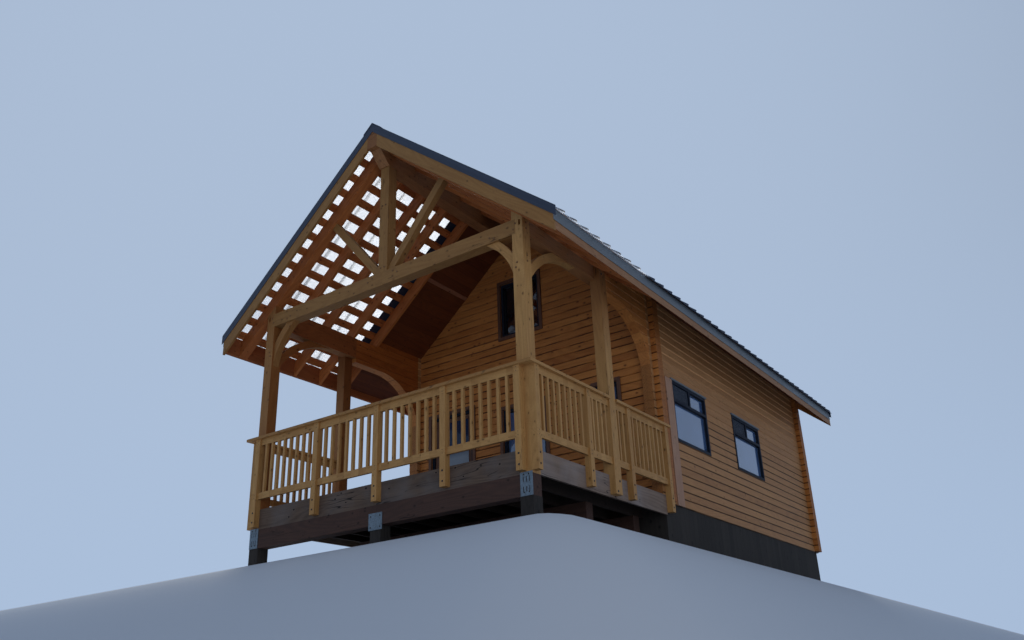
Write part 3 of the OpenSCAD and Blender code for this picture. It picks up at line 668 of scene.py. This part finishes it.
def by_facing(name, *recipes):
    """One finish from two recipes, (grain direction, light, dark, grey of the patches): the first where the surface
    faces front or back, the second where it faces left or right."""
    material, tree, skin = new_material(name)
    place, _ = folded_place(tree)
    weather = group(weather_group, place)
    colours, heights = [], []
    for direction, light, dark, grey in recipes:
        turned = along_grain(place, direction)
        grain = group(grain_group, turned)
        colour = mixed(line(grain["Tone"], 1.5, -0.4, clamp=True), dark, light)
        colour = mixed(times(weather["Patch"], 0.4), colour, grey)
        split = from_half(noise(turned, (0.8, 9.0, 9.0)))
        long_crack = times(between(split, 0.013, 0.004), between(noise(turned, (0.9, 3.0, 3.0)), 0.52, 0.60))
        marks = sums("MAXIMUM", times(long_crack, 0.9), grain["Knot"])
        colours.append(mixed(marks, colour, dim(dark, 0.12)))
        heights.append(grain["Height"])
    aside = between(absolute(facing(tree, "x")), 0.6, 0.8)
    height = node(tree, "Mix", {"Factor": aside, 2: heights[0], 3: heights[1]}).outputs[0]
    wire(skin, {"Base Color": mixed(aside, *colours), "Normal": raised(height, 0.4, 0.003), "Roughness": 0.82,
                "Specular IOR Level": 0.25})
    return material


rim_boards = by_facing("rim boards", ("x", (0.19, 0.125, 0.085), (0.085, 0.054, 0.038), (0.16, 0.15, 0.15)),
                       ("y", (0.34, 0.245, 0.185), (0.17, 0.115, 0.085), (0.34, 0.31, 0.31)))
print("rim boards ready")

# %% [markdown]
# ## Metal, glass and clear sheet
# The roof is steel with a dark slate coating: smooth, slightly dusty, a little uneven in its gloss.
# The brackets are galvanised, which shows as a pattern of grey crystals. The windows are dark from
# outside because the room behind is dark, and what they show is mostly their reflection. The clear
# sheets of the deck roof let the sky through and spread the sunlight that falls on them, so they look
# about as bright as the sky beside the roof.

# %% Metals


def metal(name, colour, roughness, metallic, dust=0.3, crystals=0.0, streaks=0.0, uneven=0.15, shine=0.5):
    """A metal finish: a colour with dust in patches, water streaks down the slope, and crystals that change its
    shade for a galvanised one."""
    material, tree, skin = new_material(name)
    place, _ = folded_place(tree)
    weather = group(weather_group, place)
    shade = mixed(times(weather["Patch"], dust), colour, dim(colour, 0.75, 0.03))
    if streaks:
        run = noise(along_grain(place, "slope"), (0.6, 22.0, 22.0), 3.0)
        shade = mixed(times(between(run, 0.5, 0.7), streaks), shade, dim(colour, 1.35, 0.01))
    if crystals:
        cells = node(tree, "TexVoronoi", {"Vector": place, "Scale": 60.0}, feature="F1").outputs["Color"]
        value = node(tree, "SeparateColor", {0: cells}).outputs[0]
        shade = mixed(times(value, crystals), shade, dim(colour, 0.45))
    wire(skin, {"Base Color": shade, "Roughness": line(weather["Patch"], uneven, roughness), "Metallic": metallic,
                "Specular IOR Level": shine, "Normal": raised(weather["Speck"], 0.05, 0.001)})
    return material


slate = metal("slate coated steel", (0.028, 0.040, 0.070), 0.42, 0.0, dust=0.10, streaks=0.45, uneven=0.05)
edge_metal = metal("grey flashing", (0.14, 0.16, 0.18), 0.42, 0.0)
zinc = metal("galvanised steel", (0.20, 0.26, 0.31), 0.45, 0.3, crystals=0.6)
dark_steel = metal("dark steel bolts", (0.05, 0.045, 0.042), 0.45, 0.6)
bright_steel = metal("brushed steel", (0.55, 0.55, 0.53), 0.3, 1.0)
frame_paint = metal("dark window paint", (0.010, 0.014, 0.026), 0.55, 0.0, dust=0.04, shine=0.2)
rubber = metal("black seal", (0.010, 0.010, 0.011), 0.6, 0.0, dust=0.05)
print("metals made")

# %% Glass and clear sheet
GABLE_GLASS = 3.5       # above this height the room behind is the dark roof space
SHEET_THICK = 0.010     # flat part of the clear sheet, square to the slope


def window_pane(name, colour, alpha):
    """Window glass: a dark see-through colour under a sharp gloss, with faint dust in patches. Its blue is a painted
    reflection of the sky, and in the gable it is painted nearly black, a painted shade of the dark roof space behind.
    """
    material, tree, skin = new_material(name)
    place, (_, _, z) = folded_place(tree)
    tint = mixed(times(group(weather_group, place)["Patch"], 0.35), colour, dim(colour, 1.6, 0.004))
    tint = mixed(sums("GREATER_THAN", z, GABLE_GLASS), tint, (0.006, 0.009, 0.014))
    wire(skin, {"Base Color": tint, "Roughness": 0.02, "IOR": 1.5, "Specular IOR Level": 1.0, "Alpha": alpha,
                "Coat Weight": 1.0, "Coat IOR": 1.7, "Coat Roughness": 0.01})
    return material


def clear_sheet(name):
    """Clear roof sheet: some light goes straight through, by the alpha, and the rest is spread by a rough transmission.
    Dust thickens it in patches. The ribs, which stand above the sheet, are painted grey and less clear: a painted shade
    for the darker look of ribs seen at a slant."""
    material, tree, skin = new_material(name)
    place, _ = folded_place(tree)
    above = node(tree, "VectorMath", {0: place, 1: OUT}, operation="DOT_PRODUCT").outputs["Value"]
    sheet_top = (under_roof(0.0) + SHEET_FOOT) * math.cos(PITCH) + SHEET_THICK
    # The ribs get a painted shade: grey and less clear than the sheet
    rib = between(above, sheet_top + 0.001, sheet_top + 0.006)
    cloudy = line(group(weather_group, place)["Patch"], 0.10, 0.34)
    wire(skin, {"Base Color": mixed(rib, (0.74, 0.80, 0.88), (0.16, 0.18, 0.21)), "Roughness": 0.6, "IOR": 1.45,
                "Specular IOR Level": 0.2, "Transmission Weight": 0.5, "Alpha": line(rib, 0.5, cloudy)})
    return material


# The blue of the window glass is a painted reflection of the sky
window_glass = window_pane("window glass", (0.075, 0.145, 0.30), 0.88)
clear = clear_sheet("clear roof sheet")
print("glass made")

# %% [markdown]
# The door leaf is one CAD node: a brown frame with a tall pane in it. Its finish is the brown wood with
# the pane painted in by place: inside the rectangle of the pane the wood gives way to a dark, glossy
# glass, paler below, a painted reflection of the ground. The leaf keeps its own coordinates when it swings,
# so the pane swings with it.

# %% Door leaf
PANE_X, PANE_Z = (-1.862, -1.193), (1.153, 2.838)
GROUND_IN_PANE = (2.36, 2.16)       # heights over which the mirrored ground comes in


def door_finish():
    material = wood("brown door with a pane", *BROWN, "z", knots=0.2, roughness=0.5)
    tree = material.node_tree
    skin = tree.nodes["Principled BSDF"]
    x, _, z = real_place(tree)
    inside = times(in_bands(x, [PANE_X]), in_bands(z, [PANE_Z]))
    # Painted reflection: the pane is painted pale below, as the ground it mirrors
    pane = mixed(between(z, *GROUND_IN_PANE), (0.018, 0.034, 0.080), (0.25, 0.30, 0.35))
    colour, rough = (skin.inputs[label].links[0].from_socket for label in ("Base Color", "Roughness"))
    wire(skin, {"Base Color": mixed(inside, colour, pane),
                "Roughness": node(tree, "Mix", {"Factor": inside, 2: rough, 3: 0.03}).outputs[0]})
    return material


door_leaf_finish = door_finish()
print("door finish ready")

# %% [markdown]
# ## The CAD nodes get their finishes
# A CAD node whose shape is right only needs its material slots filled. The table pairs each finish
# with its nodes, and each finish runs in their direction: upright for posts, level for the tie beam,
# down the slope for the rafters.

# %% Finishes of the CAD nodes
dressed = 0
for finish, names in (
        (w["footing"], "foundation deck_piers"),
        (zinc, "steel_brackets"),
        (w["rim_beam"], "deck_beams"),
        (w["joist"], "deck_joists deck_floor"),
        (rim_boards, "deck_rim"),
        (w["floor_x"], "cabin_floor"),
        (w["logs_x"], "front_wall_left front_wall_right front_wall_upper front_gable back_wall back_gable"),
        (w["logs_y"], "right_wall left_wall"),
        (w["logs_arch"], "log_arches"),
        (w["ceiling"], "ceiling_deck"),
        (door_leaf_finish, "door"),
        (bright_steel, "door_handle"),
        (frame_paint, "door_frame front_window_frames side_window_frames"),
        (window_glass, "window_glass"),
        (w["brown_z"], "window_trim door_trim"),
        (w["board_z"], "side_boards"),
        (w["fresh_z"], "corner_posts"),
        (w["mid_z"], "mid_posts"),
        (w["beam_y"], "side_plates ridge_beam"),
        (w["high_x"], "tie_beam"),
        (w["high_z"], "king_post"),
        (w["high_slope"], "rake_boards"),
        (w["strut"], "truss_struts"),
        (w["truss_brace"], "truss_braces"),
        (w["plate_brace"], "plate_braces"),
        (w["warm_slope"], "principal_rafters porch_rafters"),
        (w["warm_y"], "porch_battens"),
        (w["eave_y"], "eave_boards"),
        (slate, "roof_sheets ridge_cap rake_flashings"),
        (clear, "clear_sheets"),
        (edge_metal, "window_head_flashings eave_flashings"),
        (w["rail_x"], "front_railing"),
        (w["rail_y"], "right_railing left_railing"),
        (w["fresh_y"], "rail_caps")):
    for name in names.split():
        dressed += 1
        for slot in nodes[name].material_slots:
            slot.material = finish
print("dressed", dressed, "of", len(nodes), "nodes")

# %% [markdown]
# ## The deck boards
# The CAD part has one slab for the deck. The real deck is boards, nailed across the joists with a
# finger's gap between them, their long edges rounded by the planer. Each board is one rounded profile
# carried from the left to the right, and the first board is shorter, because it fits between the
# corner posts.

# %% Deck boards
POST = 0.165                                        # side of a corner post
BOARD_W, BOARD_GAP, BOARD_T = 0.140, 0.006, 0.038
BOARD_STEP = BOARD_W + BOARD_GAP
low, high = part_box("deck_floor")
middle = low.y + BOARD_STEP * (np.arange(int((high.y - low.y) / BOARD_STEP)) + 0.5) + 0.002
reach = np.where(middle - BOARD_W / 2 < FRONT + POST, HALF - POST - 0.003, HALF - 0.040)
half = BOARD_W / 2
board_profile = [(-half, -BOARD_T), (-half, -0.005), (-half + 0.002, -0.0015), (-half + 0.006, 0),
                 (half - 0.006, 0), (half - 0.002, -0.0015), (half, -0.005), (half, -BOARD_T)]
starts = places(-reach, middle, DECK)
deck_finish = wood("weathered deck boards", (0.27, 0.19, 0.135), (0.11, 0.075, 0.055), "x", ("y", BOARD_STEP, low.y),
                   joint=0.5, joint_width=0.02, grey=0.55, roughness=0.8)


def painted_shade_below(material, colour):
    """Paints shade on the faces of a finish that look down, where no light comes."""
    skin = material.node_tree.nodes["Principled BSDF"]
    down = between(facing(material.node_tree, "z"), -0.5, -0.8)
    wire(skin, {"Base Color": mixed(down, skin.inputs["Base Color"].links[0].from_socket, colour)})


# The deck boards' undersides are painted nearly black: a painted shade under the deck
painted_shade_below(deck_finish, (0.020, 0.014, 0.011))
boards = bars(starts, starts * MIRROR, (0, 1, 0), board_profile)
deck_boards = make_piece("deck_boards", *boards, deck_finish, "treated_wood")
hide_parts("deck_floor")

# %% [markdown]
# ## Cover strips of the ceiling
# The dark boards of the closed roof are not long enough for the whole slope. Where two fields meet, a
# flat strip covers the joint, half way up the slope. It is one thin profile carried along the
# building, in front of the wall, in the room and behind the back gable.

# %% Ceiling strips
STRIP = [(-0.035, -0.002), (0.035, -0.002), (0.035, 0.009), (0.031, 0.013), (-0.031, 0.013), (-0.035, 0.009)]
STRIP_X, CEILING = 1.175, 0.120     # place on the slope, and height of the ceiling over the rafters' underside
strip_starts, strip_ends = (places(STRIP_X, y, under_roof(STRIP_X) + CEILING)
                            for y in ((-2.770, -1.475, 5.110), (-1.650, 4.935, 5.270)))
strips = [bars(strip_starts * (s, 1, 1), strip_ends * (s, 1, 1), (math.cos(PITCH), 0, -s * math.sin(PITCH)), STRIP)
          for s in (1, -1)]
make_piece("ceiling_strips", *joined(strips), wood("ceiling strips", (0.46, 0.20, 0.11), (0.28, 0.11, 0.055), "y"),
           "honey_pine")

# %% [markdown]
# ## Bolts, pegs and screws
# Each rail post is bolted to the rim board with two bolts and screwed to the rails. The truss is held
# by oak pegs, driven through the joints and left a little proud. They are tiny, but they tell the eye
# how large the timber is. All heads of one kind are a single piece.

# %% Bolts and screws of the rail posts
RAIL_POST = 0.089                                   # side of a rail post, which stands outside the wall line
front_posts = np.array([-2.344, -1.135, -0.005, 1.125, 2.255]) + RAIL_POST / 2
side_posts = FRONT + np.array([0.0, 1.170, 2.235, 3.380]) + RAIL_POST / 2


def post_heads(heights, profile, sides=10):
    """Heads on the outer faces of the rail posts, at each height: front, right and the first one on the left."""
    rows = np.array(heights)[:, None]
    front = places(front_posts, FRONT - RAIL_POST, rows)
    right = places(HALF + RAIL_POST, side_posts, rows)
    left = right[::len(side_posts)] * MIRROR
    return joined([heads(front, (0, -1, 0), profile, sides), heads(right, (1, 0, 0), profile, sides),
                   heads(left, (-1, 0, 0), profile, sides)])


make_piece("rail_post_bolts", *post_heads([DECK - 0.06, DECK - 0.19], DOME * (0.013, 0.009)), dark_steel, "steel",
           smooth=True)
make_piece("rail_post_screws", *post_heads([1.055, 1.10, 1.845, 1.89], DOME * (0.0055, 0.003), 8), dark_steel, "steel",
           smooth=True)

# %% Pegs of the timber frame
PEG = np.array([(1.0, -0.5), (1.0, 0.35), (0.85, 0.5)]) * 0.014
x, z = np.transpose([(2.32, 3.31), (2.30, 3.245), (1.97, 3.775), (1.90, 3.80), (2.28, 3.79), (2.31, 3.87),
                     (0.035, 4.00), (0.035, 5.02), (0.20, 3.885), (0.28, 3.845)])
front_pegs = both_sides(places(x, FRONT, z))
y, z = np.transpose([(-4.943, 3.41), (-4.943, 3.33), (-3.86, 3.79), (-3.96, 3.83), (-4.943, 3.80), (-4.943, 3.88)])
side_pegs = places(HALF, y, z)
pegs = joined([heads(front_pegs, (0, -1, 0), PEG, 12), heads(side_pegs, (1, 0, 0), PEG, 12),
               heads(side_pegs * MIRROR, (-1, 0, 0), PEG, 12)])
make_piece("frame_pegs", *pegs, w["peg"], "fresh_timber")

# %% Bolts of the middle posts and of the steel plates
PLATE_FACE, MID_FACE = FRONT - 0.008, 2.509         # outer faces of the steel plates and of the middle posts
MID_Y = {1: -3.1825, -1: -3.3725}                   # middle of the right and of the left middle post
plate_bolts = ([(x, PLATE_FACE, z) for x in (-2.37, -2.30, 2.30, 2.37) for z in (0.40, 0.605)]
               + [(x, PLATE_FACE, z) for x in (-0.08, 0.08) for z in (0.335, 0.475)])
mid_places = [(0.68, -0.03), (0.82, 0.03), (3.80, -0.03), (3.99, 0.03)]
mid_bolts = [heads([(s * MID_FACE, MID_Y[s] + dy, z) for z, dy in mid_places], (s, 0, 0), DOME * (0.016, 0.011))
             for s in (1, -1)]
make_piece("timber_bolts", *joined([heads(plate_bolts, (0, -1, 0), DOME * (0.010, 0.008))] + mid_bolts), dark_steel,
           "steel", smooth=True)

# %% [markdown]
# ## Fastenings of the roof
# Steel sheets are screwed to the battens through their ribs, each screw with a washer. The rows of
# dots are what makes a metal roof look like one from above. Where a rib crosses a batten is simple
# arithmetic: the ribs are evenly spaced along the building, the battens evenly spaced down the slope.
# The real roof has a screw every second or third batten.

# %% Roof screws
RIB_STEP, RIB_TOP = 0.275, 0.3388                   # spacing of the ribs, and their tops over the rafters' underside
CAP_X, CAP_TOP = 0.13, 6.3040                       # the cap's screws, out from the ridge, and its top at the ridge
rib_y = np.concatenate([y + RIB_STEP * (np.arange(n) + 0.5) for y, n in ((-5.3147, 8), (-2.9647, 30))])
batten_x = 0.150 + 0.214 * np.array([1, 4, 7, 10, 13]) + 0.034
screws = np.concatenate([places(batten_x, rib_y[:, None], under_roof(batten_x) + RIB_TOP),
                         places(CAP_X, np.arange(-5.2, 5.25, 0.55), CAP_TOP - CAP_X * SLOPE)])
make_piece("roof_screws", *joined([heads(screws, OUT, SCREW, 6), heads(screws * MIRROR, OUT * MIRROR, SCREW, 6)]),
           metal("roof screws", (0.10, 0.12, 0.16), 0.3, 0.3), "slate_metal")

# %% Screws of the rake flashings
rake_x = np.arange(0.35, 3.0, 0.42)
rake = both_sides(places(rake_x, -5.323, under_roof(rake_x) + 0.262))
make_piece("rake_screws", *joined([heads(rake, (0, -1, 0), SCREW * 0.7, 6),
                                   heads(rake * (1, -1, 1), (0, 1, 0), SCREW * 0.7, 6)]), slate, "slate_metal")

# %% Nails of the deck boards
NAIL = np.array([(1.0, -0.2), (0.9, 0.25)]) * 0.005
nail_y = np.concatenate([middle - 0.045, middle + 0.045])
make_piece("deck_nails", *heads(places(np.arange(-5, 6) * 0.4, nail_y[:, None], DECK), (0, 0, 1), NAIL, 6), dark_steel,
           "steel")

# %% [markdown]
# ## Seals, beads and a sliding sash
# Glass is never just stuck in a hole. A black rubber seal runs round each pane, the door's pane sits
# behind a wooden bead, and in the upper light of a side window one half slides, in a thin frame of its
# own. All of them are one small profile carried round a rectangle. Seen from outside, the corners run
# against the clock, so the inside of the rectangle is always on the left of the way.

# %% A profile round a rectangle


def round_pane(low, high, depth, outward, profile):
    """Four bars round a rectangle: low and high are its corners in the two directions of the wall, depth is its place
    in the third. Each bar is the profile's first number into the pane and its second outwards."""
    n = np.asarray(outward, float)
    across = np.cross((0, 0, 1), n)
    corners = np.array([a * across + (0, 0, b) + depth * np.abs(n)
                        for a, b in (low, (high[0], low[1]), high, (low[0], high[1]))])
    ends = np.roll(corners, -1, axis=0)
    along = (ends - corners) / np.linalg.norm(ends - corners, axis=1, keepdims=True)
    return bars(corners, ends, np.cross(n, along), profile)


def side_panes(panes, depth, profile):
    """The profile round each pane of the right wall, and round its twin on the left."""
    return ([round_pane(a, b, depth, (1, 0, 0), profile) for a, b in panes]
            + [round_pane((-b[0], a[1]), (-a[0], b[1]), -depth, (-1, 0, 0), profile) for a, b in panes])


SEAL = np.array([(0, -1), (9, -1), (8, 3), (3, 5), (0, 5)]) / 1000
BEAD = np.array([(-12, -2), (3, -2), (3, 4), (-4, 9), (-12, 9)]) / 1000
SASH = np.array([(0, 0), (30, 0), (30, 14), (26, 18), (4, 18), (0, 14)]) / 1000
lights = []
for first in (-1.022, 1.378):
    lights += [((first, 1.875), (first + 1.175, 2.4775)), ((first, 2.5225), (first + 0.565, 2.77)),
               ((first + 0.610, 2.5225), (first + 1.175, 2.77))]
print("panes of a side wall:", len(lights))

# %% Seals and sashes
front_panes = ((-0.375, 1.875), (0.385, 2.745)), ((1.425, 1.875), (1.74, 2.745)), ((-0.355, 4.155), (0.355, 5.075))
seals = side_panes(lights, 2.382, SEAL) + [round_pane(a, b, -1.570, (0, -1, 0), SEAL) for a, b in front_panes]
make_piece("window_seals", *joined(seals), rubber, "dark_frame")
slides = lights[1::3]
make_piece("sliding_sashes", *joined(side_panes(slides, 2.388, SASH)), frame_paint, "dark_frame")

# %% [markdown]
# An insect screen hangs in the sliding half. It is a fine black net, so fine that from the ground it
# only darkens the glass. It is made as a thin sheet whose threads are drawn by its opacity: solid
# where the place is near a thread, see-through between.

# %% Insect screens
NET = [(-0.118, -0.0006), (0.118, -0.0006), (0.118, 0.0006), (-0.118, 0.0006)]
NET_X, NET_EDGE = 2.409, 0.004
THREADS = 400.0                                     # threads in a metre


def screen_finish():
    material, tree, skin = new_material("insect screen")
    _, y, z = real_place(tree)
    near = sums("MAXIMUM", *(from_half(sums("FRACT", times(v, THREADS))) for v in (y, z)))
    thread = between(near, 0.30, 0.38)
    wire(skin, {"Base Color": mixed(thread, (0.02, 0.025, 0.035), (0.035, 0.045, 0.07)), "Roughness": 0.7,
                "Alpha": line(thread, 0.35, 0.55)})
    return material


nets = [bars((s * NET_X, a[0] + NET_EDGE, (a[1] + b[1]) / 2), (s * NET_X, b[0] - NET_EDGE, (a[1] + b[1]) / 2),
             (0, 0, 1), NET) for a, b in slides for s in (1, -1)]
make_piece("window_screens", *joined(nets), screen_finish(), "dark_frame")

# %% Door bead and hinge knuckles
barrels = [(r, h + 32 * k) for k in range(3) for r, h in ((4, 0), (5, 1), (5, 29), (4, 30))]
KNUCKLE = np.array([(0.3, 0), *barrels, (2, 98), (0.3, 99)]) / 1000
make_piece("door_bead", *round_pane(*zip(PANE_X, PANE_Z), -1.600, (0, -1, 0), BEAD), w["brown_z"], "brown_wood",
           body="door_leaf")
make_piece("hinge_knuckles", *heads(places(-1.939, -1.548, (1.10, 1.85, 2.60)), (0, 0, 1), KNUCKLE, 12), bright_steel,
           "steel", smooth=True)

# %% [markdown]
# ## The stage and the light
# The cabin stands on a brow: the ground is level under and behind it and falls away in front and to
# the right, which is why the photograph could be taken from below the deck. The stage does the same
# with a plain pale floor. Its height is a smooth step of the distance in front of, or to the right
# of, the cabin: nothing up to the brow, then down to well below the camera.

# %% A pale floor that falls away in front
LINES = 221                                         # lines of the floor's grid, each way


def floor_height(x, y, brow=0.45, run=5.0, drop=4.2):
    """Minus the drop times a smooth step of the distance outside the cabin's front and right sides."""
    away = np.hypot(np.maximum(x - (HALF + brow), 0), np.maximum((FRONT - brow) - y, 0))
    t = np.clip(away / run, 0, 1)
    return -drop * t * t * (3 - 2 * t)


spread = np.sinh(np.linspace(-4.2, 4.2, LINES)) * 1.8
floor_points = places(spread[:, None], spread, floor_height(spread[:, None], spread))
floor_paint, _, skin = new_material("pale floor")
wire(skin, {"Base Color": (0.62, 0.66, 0.72, 1), "Roughness": 0.9})
floor, _ = add_mesh("pale floor", floor_points, grid_faces(LINES, LINES)[:, ::-1].tolist(), floor_paint, True)
print("floor from", round(float(floor_points[:, 2].min()), 2), "to 0")

# %% [markdown]
# The sun stands low behind the left slope, so the faces that the camera sees are in soft shade, and
# only the clear roof glows. The sky is a smooth gradient, darker away from the sun and paler near the
# horizon. A large soft lamp at the front right lifts the shaded faces, as a pale ground would. The
# standard view keeps the colours of the wood as they are lit.

# %% Soft light from the sky
bpy.context.scene.view_settings.view_transform = "Standard"
to_sun = Vector((-0.612, 0.612, 0.501))
world = bpy.data.worlds.new("soft sky")
bpy.context.scene.world = world
world.use_nodes = True
tree = world.node_tree
way = node(tree, "VectorMath", {0: node(tree, "TexCoord").outputs["Generated"]}, operation="NORMALIZE").outputs[0]
near = node(tree, "VectorMath", {0: way, 1: tuple(to_sun)}, operation="DOT_PRODUCT").outputs["Value"]
gradient = mixed(between(near, 0.2, 1.0), (0.165, 0.205, 0.275), (0.41, 0.51, 0.67))
low_sky = times(between(absolute(xyz(way)[2]), 0.55, 0.05), 0.8)
wire(tree.nodes["Background"], {"Color": mixed(low_sky, gradient, (0.41, 0.53, 0.72)), "Strength": 1.0})
print("the sky is brightest towards", tuple(round(v, 2) for v in to_sun))

# %% Sun and soft lamp


def lamp(name, kind, place, target, watts, colour, **settings):
    """A lamp at a place, turned so that it faces its target."""
    data = bpy.data.lights.new(name, kind)
    data.energy, data.color = watts, colour
    for key, value in settings.items():
        setattr(data, key, value)
    obj = bpy.data.objects.new(name, data)
    obj.location = place
    obj.rotation_euler = (Vector(target) - Vector(place)).to_track_quat("-Z", "Y").to_euler()
    bpy.context.collection.objects.link(obj)


lamp("low sun", "SUN", to_sun * 20, (0, 0, 0), 1.1, (1.0, 0.93, 0.82), angle=math.radians(18))
lamp("front right lamp", "AREA", (13, -13, 2.5), (0, -2, 2.2), 170, (1.0, 0.93, 0.84), size=9)
print("lamps:", len(bpy.data.lights))
